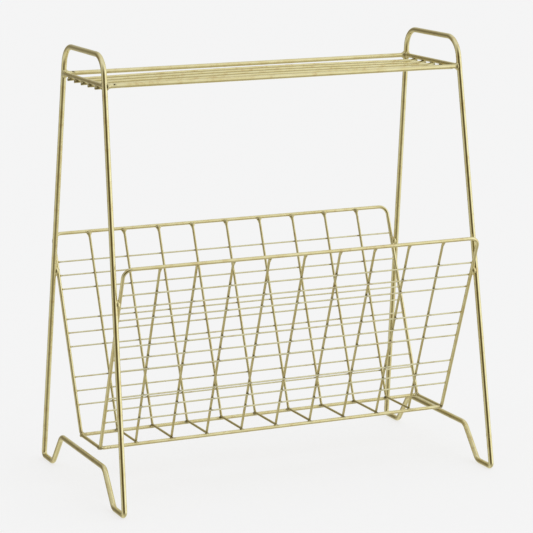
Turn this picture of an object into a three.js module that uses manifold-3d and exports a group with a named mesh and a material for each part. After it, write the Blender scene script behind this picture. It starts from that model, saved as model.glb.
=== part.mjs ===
// A floor-standing magazine rack of brass-plated round rod. Two end frames, each one rod bent to a loop,
// carry a slatted shelf near the top and a V-shaped basket below it. On the real rack every joint is a
// weld, so nothing moves; here each neighbour stops a hair short of the next, where the weld goes.
//
// Millimetres, +Z up. The origin is on the floor, under the middle of the rack. X runs along the length,
// from end frame to end frame, and Y across the depth. Points of a side view are written as (y, z).

import * as THREE from "three";
import { mergeVertices } from "three/addons/utils/BufferGeometryUtils.js";
import Module from "manifold-3d";

// Rod and wire diameters.
const FRAME_ROD = 6;
const SHELF_ROD = 5;
const BASKET_ROD = 4;
const SLAT_WIRE = 3;
const RIB_WIRE = 2.8;
const PANEL_WIRE = 1.8;
const WELD_GAP = 0.3;

// End frames. Each leg line leans inwards, along X and along Y, from the foot to the handle bar.
const HANDLE_HEIGHT = 485;
const HANDLE_HALF_LENGTH = 211;
const HANDLE_HALF_DEPTH = 60;
const FOOT_HEIGHT = FRAME_ROD / 2;
const FOOT_HALF_LENGTH = 222.5;
const FOOT_HALF_DEPTH = 131.5;
const FOOT_LENGTH = 32;
const BRIDGE_HEIGHT = 40;
const BRIDGE_HALF_DEPTH = 69.5;
const HANDLE_BEND = 24;
const FOOT_OUTER_BEND = 4.5;
const FOOT_INNER_BEND = 11;
const BRIDGE_BEND = 13;
const FRAME_SEAM_HEIGHT = 39;

// Shelf.
const SHELF_HEIGHT = 453.5;
const SLAT_COUNT = 5;
const SLAT_CROWN = 2;
const SLAT_OVERHANG = 0.5;

// Basket.
const RIM_HEIGHT = 265.5;
const RIM_HALF_DEPTH = 114;
const RIM_BEND = 10;
const FLOOR_HEIGHT = 51;
const FLOOR_HALF_DEPTH = 30.5;
const FLOOR_BEND = 4;
const BASKET_SEAM_SHARE = 0.02;
const RIB_COUNT = 9;
const RIB_BEND = 3.5;
const WIRE_GROUPS = 3;
const WIRES_PER_GROUP = 3;
const WIRE_PITCH = 15.75;
const WIRE_GROUP_PITCH = 66;
const FIRST_GROUP_CENTRE = 48.5;

// Fineness of the faceting.
const ROD_SIDES = 12;
const WIRE_SIDES = 8;
const BEAD_RINGS = 8;
const BEND_STEP = THREE.MathUtils.degToRad(17);
const SLAT_STEPS = 8;

// A weld bead is a ball this much thicker than the rod that it closes.
const BEAD_SHARE = 1.2;

const X_AXIS = new THREE.Vector3(1, 0, 0);
const Y_AXIS = new THREE.Vector3(0, 1, 0);
const Z_AXIS = new THREE.Vector3(0, 0, 1);

const brass = (color, roughness) => new THREE.MeshStandardMaterial({ color, roughness, metalness: 1 });
const FRAME_BRASS = brass(0xb7a35f, 0.3);
const SHELF_BRASS = brass(0xc4b06a, 0.3);
const BASKET_BRASS = brass(0xbfab66, 0.32);
const WIRE_BRASS = brass(0xc9ba80, 0.35);

const wasm = await Module();
wasm.setup();

/** A rod's centreline through a run of corners, each rounded to its own radius. One pair of the section's
 * flats faces flatSide all the way, so a foot has a flat on the floor. */
class BentRodPath extends THREE.Curve {
  constructor(corners, flatSide) {
    super();
    this.flatSide = flatSide;
    this.stations = stationsAlong(corners);
  }

  get steps() {
    return this.stations.length - 1;
  }

  stationAt(u) {
    return this.stations[Math.round(u * this.steps)];
  }

  getPointAt(u, target = new THREE.Vector3()) {
    return target.copy(this.stationAt(u).point);
  }

  getTangentAt(u, target = new THREE.Vector3()) {
    return target.copy(this.stationAt(u).tangent);
  }

  computeFrenetFrames() {
    const tangents = this.stations.map((station) => station.tangent.clone());
    const normals = tangents.map((tangent) => perpendicularPart(this.flatSide, tangent));
    const binormals = tangents.map((tangent, i) => tangent.clone().cross(normals[i]).normalize());
    return { tangents, normals, binormals };
  }
}

function perpendicularPart(vector, tangent) {
  return vector.clone().addScaledVector(tangent, -vector.dot(tangent)).normalize();
}

function directionBetween(from, to) {
  return to.clone().sub(from).normalize();
}

/** The points and tangents of a rounded run of corners. Each corner is { point, bend }; the first and the
 * last are the rod's ends. */
function stationsAlong(corners) {
  const first = corners[0].point;
  const last = corners.at(-1).point;
  const stations = [{ point: first, tangent: directionBetween(first, corners[1].point) }];
  for (let i = 1; i < corners.length - 1; i++) {
    stations.push(...bendStations(corners[i - 1].point, corners[i], corners[i + 1].point));
  }
  stations.push({ point: last, tangent: directionBetween(corners.at(-2).point, last) });
  return stations;
}

/** One bend: an arc that leaves the incoming line and joins the outgoing one. */
function bendStations(before, corner, after) {
  const incoming = directionBetween(before, corner.point);
  const outgoing = directionBetween(corner.point, after);
  const turn = incoming.angleTo(outgoing);
  const inward = perpendicularPart(outgoing, incoming);
  const start = corner.point.clone().addScaledVector(incoming, -corner.bend * Math.tan(turn / 2));
  const steps = Math.max(2, Math.ceil(turn / BEND_STEP));
  return Array.from({ length: steps + 1 }, (_, i) => {
    const angle = (turn * i) / steps;
    const point = start
      .clone()
      .addScaledVector(incoming, corner.bend * Math.sin(angle))
      .addScaledVector(inward, corner.bend * (1 - Math.cos(angle)));
    const tangent = incoming
      .clone()
      .multiplyScalar(Math.cos(angle))
      .addScaledVector(inward, Math.sin(angle));
    return { point, tangent };
  });
}

/** A regular polygon whose flats touch the circle of the given diameter, with flats square to both axes. */
function roundSection(diameter, sides) {
  const cornerRadius = diameter / 2 / Math.cos(Math.PI / sides);
  const corners = Array.from({ length: sides }, (_, i) => {
    const angle = (2 * Math.PI * (i + 0.5)) / sides;
    return new THREE.Vector2(cornerRadius * Math.cos(angle), cornerRadius * Math.sin(angle));
  });
  return new THREE.Shape(corners);
}

function rodAlong(path, steps, diameter, sides) {
  return new THREE.ExtrudeGeometry(roundSection(diameter, sides), { extrudePath: path, steps });
}

function bentRod(corners, diameter, sides, flatSide) {
  const path = new BentRodPath(corners, flatSide);
  return rodAlong(path, path.steps, diameter, sides);
}

/** A straight level rod with its middle at the origin. */
function straightRod(direction, halfLength, diameter, sides) {
  const from = direction.clone().multiplyScalar(-halfLength);
  const to = direction.clone().multiplyScalar(halfLength);
  return bentRod([{ point: from }, { point: to }], diameter, sides, Z_AXIS);
}

function solidFrom(geometry) {
  const positions = new THREE.BufferGeometry().setAttribute("position", geometry.getAttribute("position"));
  positions.setIndex(geometry.index);
  const merged = mergeVertices(positions, 1e-4);
  const vertProperties = merged.attributes.position.array;
  const triVerts = new Uint32Array(merged.index.array);
  return new wasm.Manifold(new wasm.Mesh({ numProp: 3, vertProperties, triVerts }));
}

function geometryFrom(solid) {
  const mesh = solid.getMesh();
  const geometry = new THREE.BufferGeometry();
  geometry.setAttribute("position", new THREE.BufferAttribute(mesh.vertProperties, mesh.numProp));
  geometry.setIndex(new THREE.BufferAttribute(mesh.triVerts, 1));
  geometry.computeVertexNormals();
  return geometry;
}

/** One rod bent to a closed loop. Its two ends meet at the seam, on the edge from the last corner to the
 * first, seamShare of the way along, where a weld bead joins them. */
function closedRod(corners, diameter, flatSide, seamShare) {
  const last = corners.at(-1).point;
  const first = corners[0].point;
  const seam = last.clone().lerp(first, seamShare);
  const along = directionBetween(last, first);
  const rodStart = { point: seam.clone().addScaledVector(along, WELD_GAP / 2) };
  const rodEnd = { point: seam.clone().addScaledVector(along, -WELD_GAP / 2) };
  const rod = bentRod([rodStart, ...corners, rodEnd], diameter, ROD_SIDES, flatSide);
  const bead = new THREE.SphereGeometry((BEAD_SHARE * diameter) / 2, ROD_SIDES, BEAD_RINGS);
  bead.translate(seam.x, seam.y, seam.z);
  return geometryFrom(solidFrom(rod).add(solidFrom(bead)));
}

// The leg line's place at a height.
function legShare(height) {
  return (height - FOOT_HEIGHT) / (HANDLE_HEIGHT - FOOT_HEIGHT);
}

function legX(height) {
  return THREE.MathUtils.lerp(FOOT_HALF_LENGTH, HANDLE_HALF_LENGTH, legShare(height));
}

function legY(height) {
  return THREE.MathUtils.lerp(FOOT_HALF_DEPTH, HANDLE_HALF_DEPTH, legShare(height));
}

/** The right-hand end frame: handle bar, two leaning legs, a foot under each, and a raised bridge. */
function endFrameGeometry() {
  const corner = (y, z, bend) => ({ point: new THREE.Vector3(legX(z), y, z), bend });
  const innerFoot = FOOT_HALF_DEPTH - FOOT_LENGTH;
  const corners = [
    corner(-HANDLE_HALF_DEPTH, HANDLE_HEIGHT, HANDLE_BEND),
    corner(HANDLE_HALF_DEPTH, HANDLE_HEIGHT, HANDLE_BEND),
    corner(FOOT_HALF_DEPTH, FOOT_HEIGHT, FOOT_OUTER_BEND),
    corner(innerFoot, FOOT_HEIGHT, FOOT_INNER_BEND),
    corner(BRIDGE_HALF_DEPTH, BRIDGE_HEIGHT, BRIDGE_BEND),
    corner(-BRIDGE_HALF_DEPTH, BRIDGE_HEIGHT, BRIDGE_BEND),
    corner(-innerFoot, FOOT_HEIGHT, FOOT_INNER_BEND),
    corner(-FOOT_HALF_DEPTH, FOOT_HEIGHT, FOOT_OUTER_BEND),
  ];
  return closedRod(corners, FRAME_ROD, X_AXIS, legShare(FRAME_SEAM_HEIGHT));
}

// The basket's side rods cross the legs here, and touch their inner faces but for the weld gap.
const panelSlope = (RIM_HALF_DEPTH - FLOOR_HALF_DEPTH) / (RIM_HEIGHT - FLOOR_HEIGHT);
const legSlope = (HANDLE_HALF_DEPTH - FOOT_HALF_DEPTH) / (HANDLE_HEIGHT - FOOT_HEIGHT);
const crossingHeight =
  (FOOT_HALF_DEPTH - legSlope * FOOT_HEIGHT - FLOOR_HALF_DEPTH + panelSlope * FLOOR_HEIGHT) /
  (panelSlope - legSlope);
const basketHalfLength = legX(crossingHeight) - (FRAME_ROD + BASKET_ROD) / 2 - WELD_GAP;

const inwardNormal = (down) => new THREE.Vector2(down.y, -down.x);

// The back panel in side view: from the rim down to the floor rod, and the normal that points inwards.
const rimPoint = new THREE.Vector2(RIM_HALF_DEPTH, RIM_HEIGHT);
const floorPoint = new THREE.Vector2(FLOOR_HALF_DEPTH, FLOOR_HEIGHT);
const downPanel = floorPoint.clone().sub(rimPoint).normalize();
const panelInward = inwardNormal(downPanel);

// A rib lies against the inner side of the rim, and the outside of its bend lies against the floor rod.
const ribReach = (BASKET_ROD + RIB_WIRE) / 2 + WELD_GAP;
const ribTop = rimPoint.clone().addScaledVector(panelInward, ribReach);
const acrossFloor = new THREE.Vector2(-1, 0);
const ribTurn = Math.acos(downPanel.dot(acrossFloor));
const bendToCorner = RIB_BEND * (1 / Math.cos(ribTurn / 2) - 1);
const awayFromFloorRod = acrossFloor.clone().sub(downPanel).normalize();
const ribCorner = floorPoint.clone().addScaledVector(awayFromFloorRod, ribReach - bendToCorner);
const ribDown = ribCorner.clone().sub(ribTop).normalize();
const wireOutset = (RIB_WIRE + PANEL_WIRE) / 2 + WELD_GAP;

/** The basket's back frame: one rod round the rim, both sides and the floor edge. */
function basketFrameGeometry() {
  const corner = (x, point, bend) => ({ point: new THREE.Vector3(x, point.x, point.y), bend });
  const corners = [
    corner(basketHalfLength, floorPoint, FLOOR_BEND),
    corner(basketHalfLength, rimPoint, RIM_BEND),
    corner(-basketHalfLength, rimPoint, RIM_BEND),
    corner(-basketHalfLength, floorPoint, FLOOR_BEND),
  ];
  const panelNormal = new THREE.Vector3(0, panelInward.x, panelInward.y);
  return closedRod(corners, BASKET_ROD, panelNormal, 1 - BASKET_SEAM_SHARE);
}

/** A rib: down inside one panel, across over the floor rods, and up inside the other panel. */
function ribGeometry() {
  const corner = (y, z, bend) => ({ point: new THREE.Vector3(0, y, z), bend });
  const corners = [
    corner(-ribTop.x, ribTop.y),
    corner(-ribCorner.x, ribCorner.y, RIB_BEND),
    corner(ribCorner.x, ribCorner.y, RIB_BEND),
    corner(ribTop.x, ribTop.y),
  ];
  return bentRod(corners, RIB_WIRE, WIRE_SIDES, X_AXIS);
}

/** A slat: a wire that rises by the crown between its two welds. */
function slatGeometry(halfLength) {
  const left = new THREE.Vector3(-halfLength, 0, 0);
  const middle = new THREE.Vector3(0, 0, 2 * SLAT_CROWN);
  const right = new THREE.Vector3(halfLength, 0, 0);
  const arch = new THREE.QuadraticBezierCurve3(left, middle, right);
  return rodAlong(arch, SLAT_STEPS, SLAT_WIRE, WIRE_SIDES);
}

function addPiece(group, name, geometry, material, place = new THREE.Vector3()) {
  const piece = new THREE.Mesh(geometry, material);
  piece.name = name;
  piece.position.copy(place);
  group.add(piece);
  return piece;
}

/** A piece and its twin on the other side of the rack, turned half a turn about the middle. */
function addTwins(group, names, geometry, material, place = new THREE.Vector3()) {
  addPiece(group, names[0], geometry, material, place);
  const twinPlace = place.clone().applyAxisAngle(Z_AXIS, Math.PI);
  const twin = addPiece(group, names[1], geometry, material, twinPlace);
  twin.rotation.z = Math.PI;
}

function endFrames() {
  const group = new THREE.Group();
  addTwins(group, ["end_frame_right", "end_frame_left"], endFrameGeometry(), FRAME_BRASS);
  return group;
}

function shelf() {
  const group = new THREE.Group();
  const frameX = legX(SHELF_HEIGHT);
  const frameY = legY(SHELF_HEIGHT);
  const edgeHalfLength = frameX - FRAME_ROD / 2 - WELD_GAP;
  const edge = straightRod(X_AXIS, edgeHalfLength, SHELF_ROD, ROD_SIDES);
  const edgePlace = new THREE.Vector3(0, frameY, SHELF_HEIGHT);
  addTwins(group, ["shelf_edge_rod_back", "shelf_edge_rod_front"], edge, SHELF_BRASS, edgePlace);

  const legFace = FRAME_ROD / 2 / Math.cos(Math.atan(legSlope));
  const crossHalfLength = legY(SHELF_HEIGHT + SHELF_ROD / 2) - legFace - WELD_GAP;
  const cross = straightRod(Y_AXIS, crossHalfLength, SHELF_ROD, ROD_SIDES);
  const crossPlace = new THREE.Vector3(frameX, 0, SHELF_HEIGHT);
  addTwins(group, ["shelf_cross_rod_right", "shelf_cross_rod_left"], cross, SHELF_BRASS, crossPlace);

  const slat = slatGeometry(frameX + SHELF_ROD / 2 + SLAT_OVERHANG);
  const slatHeight = SHELF_HEIGHT - (SHELF_ROD + SLAT_WIRE) / 2 - WELD_GAP;
  const slatPitch = (2 * frameY) / (SLAT_COUNT + 1);
  for (let i = 1; i <= SLAT_COUNT; i++) {
    const place = new THREE.Vector3(0, -frameY + i * slatPitch, slatHeight);
    addPiece(group, `shelf_slat_${i}`, slat, SHELF_BRASS, place);
  }
  return group;
}

function basketRibs() {
  const group = new THREE.Group();
  const rib = ribGeometry();
  const pitch = (2 * basketHalfLength) / (RIB_COUNT + 1);
  for (let i = 1; i <= RIB_COUNT; i++) {
    const place = new THREE.Vector3(-basketHalfLength + i * pitch, 0, 0);
    addPiece(group, `basket_rib_${i}`, rib, BASKET_BRASS, place);
  }
  return group;
}

/** The thin wires of both panels, numbered from the rim down. */
function basketWires() {
  const group = new THREE.Group();
  const wire = straightRod(X_AXIS, basketHalfLength - BASKET_ROD / 2 - WELD_GAP, PANEL_WIRE, WIRE_SIDES);
  const middleOfGroup = (WIRES_PER_GROUP - 1) / 2;
  for (let i = 0; i < WIRE_GROUPS * WIRES_PER_GROUP; i++) {
    const groupCentre = FIRST_GROUP_CENTRE + Math.floor(i / WIRES_PER_GROUP) * WIRE_GROUP_PITCH;
    const distance = groupCentre + ((i % WIRES_PER_GROUP) - middleOfGroup) * WIRE_PITCH;
    const onRibs = ribTop
      .clone()
      .addScaledVector(ribDown, distance)
      .addScaledVector(inwardNormal(ribDown), -wireOutset);
    const place = new THREE.Vector3(0, onRibs.x, onRibs.y);
    const names = [`basket_wire_back_${i + 1}`, `basket_wire_front_${i + 1}`];
    addTwins(group, names, wire, WIRE_BRASS, place);
  }
  return group;
}

function basket() {
  const group = new THREE.Group();
  addTwins(group, ["basket_frame_back", "basket_frame_front"], basketFrameGeometry(), BASKET_BRASS);
  const floorRod = straightRod(Y_AXIS, FLOOR_HALF_DEPTH - BASKET_ROD / 2 - WELD_GAP, BASKET_ROD, ROD_SIDES);
  const floorPlace = new THREE.Vector3(basketHalfLength, 0, FLOOR_HEIGHT);
  addTwins(group, ["basket_floor_rod_right", "basket_floor_rod_left"], floorRod, BASKET_BRASS, floorPlace);
  group.add(basketRibs(), basketWires());
  return group;
}

const magazineRack = new THREE.Group();
magazineRack.name = "magazine_rack";
magazineRack.add(endFrames(), shelf(), basket());

export default magazineRack;
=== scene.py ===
"""A floor-standing magazine rack of brass-plated round rod, in a plain pale studio.

Two end frames, each one rod bent to a loop, carry a slatted shelf near the top and a V-shaped wire
basket below it, and every joint is a weld. Metres, +Z up: X runs along the rack from end frame to
end frame and Y from front to back. Each rod is fed out and bent as a wire bender does it.
"""

import logging
import math
from collections.abc import Iterable, Sequence
from dataclasses import dataclass, field
from enum import Enum

import bmesh
import bpy
from mathutils import Matrix, Vector, kdtree, noise


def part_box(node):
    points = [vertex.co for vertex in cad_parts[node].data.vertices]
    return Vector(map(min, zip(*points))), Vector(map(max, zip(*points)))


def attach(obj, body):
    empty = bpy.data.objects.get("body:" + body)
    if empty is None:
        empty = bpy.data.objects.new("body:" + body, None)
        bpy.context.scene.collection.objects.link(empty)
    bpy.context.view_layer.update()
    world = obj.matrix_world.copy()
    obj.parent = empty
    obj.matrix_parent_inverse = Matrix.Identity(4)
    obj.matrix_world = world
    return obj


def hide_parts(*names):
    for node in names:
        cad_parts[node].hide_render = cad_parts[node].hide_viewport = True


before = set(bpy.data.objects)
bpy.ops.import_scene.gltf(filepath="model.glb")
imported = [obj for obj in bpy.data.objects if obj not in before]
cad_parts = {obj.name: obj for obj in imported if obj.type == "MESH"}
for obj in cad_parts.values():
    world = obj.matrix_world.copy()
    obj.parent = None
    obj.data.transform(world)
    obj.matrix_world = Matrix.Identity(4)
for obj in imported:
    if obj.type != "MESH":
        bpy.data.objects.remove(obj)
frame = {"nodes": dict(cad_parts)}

LOG = logging.getLogger("magazine_rack")
MM = 0.001
X_AXIS = Vector((1.0, 0.0, 0.0))
Y_AXIS = Vector((0.0, 1.0, 0.0))
Z_AXIS = Vector((0.0, 0.0, 1.0))
BODY = "root"

Link = bpy.types.NodeSocket
Setting = str | float | int | bool | Sequence[float]


class Side(Enum):
    """One of two opposite sides of the rack."""

    @property
    def label(self) -> str:
        """The side's name in lower case."""
        return self.name.lower()


class End(Side):
    """The two ends of the rack, with the sign of X at each."""

    LEFT = -1
    RIGHT = 1


class Face(Side):
    """The rack's front and back, with the sign of Y at each."""

    FRONT = -1
    BACK = 1


@dataclass(frozen=True)
class RodStock:
    """Round rod or wire as it comes off the coil.

    Attributes:
        diameter_mm: the finished diameter.
        sides: how many faces go round it.
        feed_mm: the spacing of the rings along a straight run.
    """

    diameter_mm: float
    sides: int
    feed_mm: float = 3.0

    @property
    def radius(self) -> float:
        """Half the diameter, in metres."""
        return self.diameter_mm * MM / 2


FRAME_ROD = RodStock(6.0, 28)
SHELF_ROD = RodStock(5.0, 24)
BASKET_ROD = RodStock(4.0, 20)
SLAT_WIRE = RodStock(3.0, 16)
RIB_WIRE = RodStock(2.8, 16)
PANEL_WIRE = RodStock(1.8, 12)
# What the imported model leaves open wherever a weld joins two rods.
WELD_GAP = 0.3 * MM
# How far each end of a bent loop stops short of its seam.
SEAM_GAP = 0.2 * MM


# ---- Finishes ----


def linear(hex_colour: str) -> tuple[float, float, float, float]:
    """Turns an sRGB hex colour to linear RGBA.

    Args:
        hex_colour: the colour as "#RRGGBB".

    Returns:
        Red, green, blue and an alpha of 1.
    """
    channels = [int(hex_colour[i : i + 2], 16) / 255 for i in (1, 3, 5)]
    low, high = ([c / 12.92 for c in channels], [((c + 0.055) / 1.055) ** 2.4 for c in channels])
    red, green, blue = (a if c <= 0.04045 else b for a, b, c in zip(low, high, channels))
    return red, green, blue, 1.0


def add_node(
    tree: bpy.types.NodeTree,
    kind: str,
    settings: dict[str | int, Setting] | None = None,
    links: dict[str | int, Link] | None = None,
) -> bpy.types.Node:
    """Adds one node with its settings and links.

    Args:
        tree: the tree that it goes in.
        kind: the node's type, without the "ShaderNode" in front.
        settings: values by property name, or by input name or number.
        links: sockets by the name or number of the input that each feeds.

    Returns:
        The new node.
    """
    node = tree.nodes.new("ShaderNode" + kind)
    for name, value in (settings or {}).items():
        if isinstance(name, str) and hasattr(node, name):
            setattr(node, name, value)
        else:
            node.inputs[name].default_value = value
    for name, socket in (links or {}).items():
        tree.links.new(socket, node.inputs[name])
    return node


def grain(size_mm: float, detail: float) -> dict[str, Setting]:
    """The settings of noise whose features have a real size."""
    return {"Scale": 1 / (size_mm * MM), "Detail": detail, "Roughness": 0.55}


def ramp(start: float, full: float, least: float = 0.0, most: float = 1.0) -> dict[str, Setting]:
    """The settings of a ramp between two values."""
    return {"From Min": start, "From Max": full, "To Min": least, "To Max": most}


@dataclass(frozen=True)
class Patches:
    """Uneven patches over a surface.

    Attributes:
        size_mm: the size of a patch.
        detail: how ragged its edge is.
        start: the level of the noise at which a patch starts.
        full: the level at which it is full.
        least: the value between the patches.
        most: the value in a full patch.
    """

    size_mm: float
    detail: float
    start: float
    full: float
    least: float = 0.0
    most: float = 1.0

    def lay(self, tree: bpy.types.NodeTree, place: Link) -> Link:
        """Lays the patches over a surface.

        Args:
            tree: the material's tree.
            place: the object coordinates.

        Returns:
            The patches' value.
        """
        settings = grain(self.size_mm, self.detail)
        level = add_node(tree, "TexNoise", settings, {"Vector": place}).outputs["Fac"]
        settings = ramp(self.start, self.full, self.least, self.most)
        return add_node(tree, "MapRange", settings, {"Value": level}).outputs[0]


@dataclass(frozen=True)
class BrassPlating:
    """Satin brass plating on drawn and welded steel.

    The steel is drawn through a die, so faint lines run along it under the plating, and its surface
    is not quite true, so a reflection wanders along the rod. The plating is a pale greenish gold, a
    little deeper where it lies thick, faintly pink where the copper in it shows, and brown in pits
    by the welds. The same brown is painted shade in the crevices by the welds and on the slats'
    ends.

    Attributes:
        name: the finish's name.
        girth_mm: the way round the rod, or nothing for a bead, which has no drawing lines.
        colour: the plating where it is clean and even.
        deep_colour: the plating where it lies thick.
        copper_colour: the plating where its copper shows.
        pit_and_crevice_shade_colour: the brown pits by a weld, and the painted shade in its
            crevices.
        roughness: how satin the surface is.
        smoother: how much smoother it is in places.
        rougher: how much rougher it is in places.
        weld_roughness: how much rougher it is right by a weld.
        line_pitch_mm: the spacing of the drawing lines. The real ones are about 0.05 mm apart, so
            they are drawn coarser here to show at all.
        line_length_mm: how far a drawing line runs before it fades.
        line_height_mm: how high a drawing line stands.
        line_strength: how much of that height is left under the plating.
        grain_mm: the size of the grain on a bead.
        mottle_mm: the size of the patches where the plating lies thick. Where its copper shows or
            it is hazy, a patch is half that size.
        pit_mm: the size of the pits by a weld.
        wave_mm: the length of the waves in the surface.
        wave_height_mm: how high those waves are.
    """

    name: str
    girth_mm: float | None = None
    colour: str = "#EDE4B7"
    deep_colour: str = "#DBCB8F"
    copper_colour: str = "#CDB083"
    pit_and_crevice_shade_colour: str = "#43371B"
    roughness: float = 0.12
    smoother: float = 0.03
    rougher: float = 0.05
    weld_roughness: float = 0.22
    line_pitch_mm: float = 0.45
    line_length_mm: float = 28.0
    line_height_mm: float = 0.02
    line_strength: float = 0.25
    grain_mm: float = 1.2
    mottle_mm: float = 14.0
    pit_mm: float = 1.8
    wave_mm: float = 17.0
    wave_height_mm: float = 0.05

    def make(self) -> bpy.types.Material:
        """Builds the material.

        Returns:
            The finished material.
        """
        material = bpy.data.materials.new(self.name)
        material.use_nodes = True
        tree = material.node_tree
        tree.nodes.clear()
        place = add_node(tree, "TexCoord").outputs["Object"]
        lines = self._drawing_lines(tree, place)
        weld = add_node(tree, "Attribute", {"attribute_name": WeldShade.ATTRIBUTE}).outputs["Fac"]
        surface = {
            "Base Color": self._colour(tree, place, lines, weld),
            "Roughness": self._roughness(tree, place, weld),
            "Normal": self._relief(tree, place, lines),
        }
        shader = add_node(tree, "BsdfPrincipled", {"Metallic": 1.0}, surface)
        add_node(tree, "OutputMaterial", links={"Surface": shader.outputs["BSDF"]})
        material.diffuse_color = linear(self.colour)
        return material

    def _drawing_lines(self, tree: bpy.types.NodeTree, place: Link) -> Link:
        """Noise stretched along the rod, without a seam where the way round closes.

        Args:
            tree: the material's tree.
            place: the object coordinates, for a bead that has no rod to follow.

        Returns:
            The lines' height, from 0 to 1.
        """
        if self.girth_mm is None:
            settings = grain(self.grain_mm, 4.0)
            return add_node(tree, "TexNoise", settings, {"Vector": place}).outputs["Fac"]
        unwrapped = add_node(tree, "UVMap", {"uv_map": BentRod.UNWRAPPED}).outputs["UV"]
        parts = add_node(tree, "SeparateXYZ", links={"Vector": unwrapped})
        turn = {"operation": "MULTIPLY", 1: math.tau}
        angle = add_node(tree, "Math", turn, {0: parts.outputs["X"]}).outputs[0]
        stretch = {"operation": "MULTIPLY", 1: self.girth_mm / math.tau / self.line_pitch_mm}
        run = {"operation": "MULTIPLY", 1: 1 / (self.line_length_mm * MM)}
        along = add_node(tree, "Math", run, {0: parts.outputs["Y"]}).outputs[0]
        point = {"Z": along}
        for way, wave in (("X", "COSINE"), ("Y", "SINE")):
            swing = add_node(tree, "Math", {"operation": wave}, {0: angle}).outputs[0]
            point[way] = add_node(tree, "Math", stretch, {0: swing}).outputs[0]
        stretched = add_node(tree, "CombineXYZ", links=point).outputs[0]
        settings = {"Scale": 1.0, "Detail": 3.0, "Roughness": 0.6}
        return add_node(tree, "TexNoise", settings, {"Vector": stretched}).outputs["Fac"]

    def _colour(self, tree: bpy.types.NodeTree, place: Link, lines: Link, weld: Link) -> Link:
        """The colour: clean, thick in patches and lines, coppery in spots, brown pits and painted
        shade by a weld.

        Args:
            tree: the material's tree.
            place: the object coordinates.
            lines: the drawing lines' height.
            weld: how much the pits and painted shade by a weld darken it, from 0 to 1.

        Returns:
            The colour.
        """
        patches = Patches(self.mottle_mm, detail=4.0, start=0.38, full=0.72, most=0.6)
        thick = patches.lay(tree, place)
        settings = ramp(start=0.35, full=0.75, most=0.3)
        scored = add_node(tree, "MapRange", settings, {"Value": lines}).outputs[0]
        settings = {"operation": "ADD", "use_clamp": True}
        deep = add_node(tree, "Math", settings, {0: thick, 1: scored}).outputs[0]
        patches = Patches(self.mottle_mm / 2, detail=3.0, start=0.56, full=0.7, most=0.4)
        coppery = patches.lay(tree, place)
        # The brown pits and painted crevice shade by a weld are broken up into pits, so that they
        # have no clean edge.
        patches = Patches(self.pit_mm, detail=3.0, start=0.42, full=0.58, least=0.15)
        pitted = patches.lay(tree, place)
        pits_and_shade = add_node(tree, "Math", {"operation": "MULTIPLY"}, {0: weld, 1: pitted}).outputs[0]
        clean = add_node(tree, "RGB").outputs[0]
        clean.default_value = linear(self.colour)
        mixed = clean
        for share, tint in (
            (deep, self.deep_colour),
            (coppery, self.copper_colour),
            (pits_and_shade, self.pit_and_crevice_shade_colour),
        ):
            settings = {"data_type": "RGBA", 7: linear(tint)}
            mixed = add_node(tree, "Mix", settings, {0: share, 6: mixed}).outputs[2]
        return mixed

    def _roughness(self, tree: bpy.types.NodeTree, place: Link, weld: Link) -> Link:
        """The surface's roughness: a little uneven, and higher by a weld.

        Args:
            tree: the material's tree.
            place: the object coordinates.
            weld: how near a weld is, from 0 to 1.

        Returns:
            The roughness.
        """
        least, most = self.roughness - self.smoother, self.roughness + self.rougher
        patches = Patches(self.mottle_mm / 2, 5.0, start=0.3, full=0.7, least=least, most=most)
        haze = patches.lay(tree, place)
        settings = {"operation": "MULTIPLY_ADD", 1: self.weld_roughness, "use_clamp": True}
        return add_node(tree, "Math", settings, {0: weld, 2: haze}).outputs[0]

    def _relief(self, tree: bpy.types.NodeTree, place: Link, lines: Link) -> Link:
        """The surface's small relief: long waves in the steel, with the drawing lines on top.

        Args:
            tree: the material's tree.
            place: the object coordinates.
            lines: the drawing lines' height.

        Returns:
            The normal.
        """
        settings = grain(self.wave_mm, 2.0)
        waves = add_node(tree, "TexNoise", settings, {"Vector": place}).outputs["Fac"]
        settings = {"Strength": 1.0, "Distance": self.wave_height_mm * MM}
        wavy = add_node(tree, "Bump", settings, {"Height": waves}).outputs[0]
        settings = {"Strength": self.line_strength, "Distance": self.line_height_mm * MM}
        return add_node(tree, "Bump", settings, {"Height": lines, "Normal": wavy}).outputs[0]


@dataclass(frozen=True)
class Finishes:
    """The rack's materials, each named for what it is on."""

    frame: bpy.types.Material
    shelf: bpy.types.Material
    slat: bpy.types.Material
    basket: bpy.types.Material
    rib: bpy.types.Material
    wire: bpy.types.Material
    weld: bpy.types.Material
    crater_shade: bpy.types.Material


def plating_on(stock: RodStock, form: str, **changes: str | float) -> bpy.types.Material:
    """The plating on one size of rod.

    Args:
        stock: the rod that is plated.
        form: what kind of rod that is.
        **changes: what differs from the usual plating.

    Returns:
        The material, with its lines spaced round that rod.
    """
    name = f"Satin brass plating, {stock.diameter_mm:g} mm {form}"
    return BrassPlating(name, math.pi * stock.diameter_mm, **changes).make()


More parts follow.
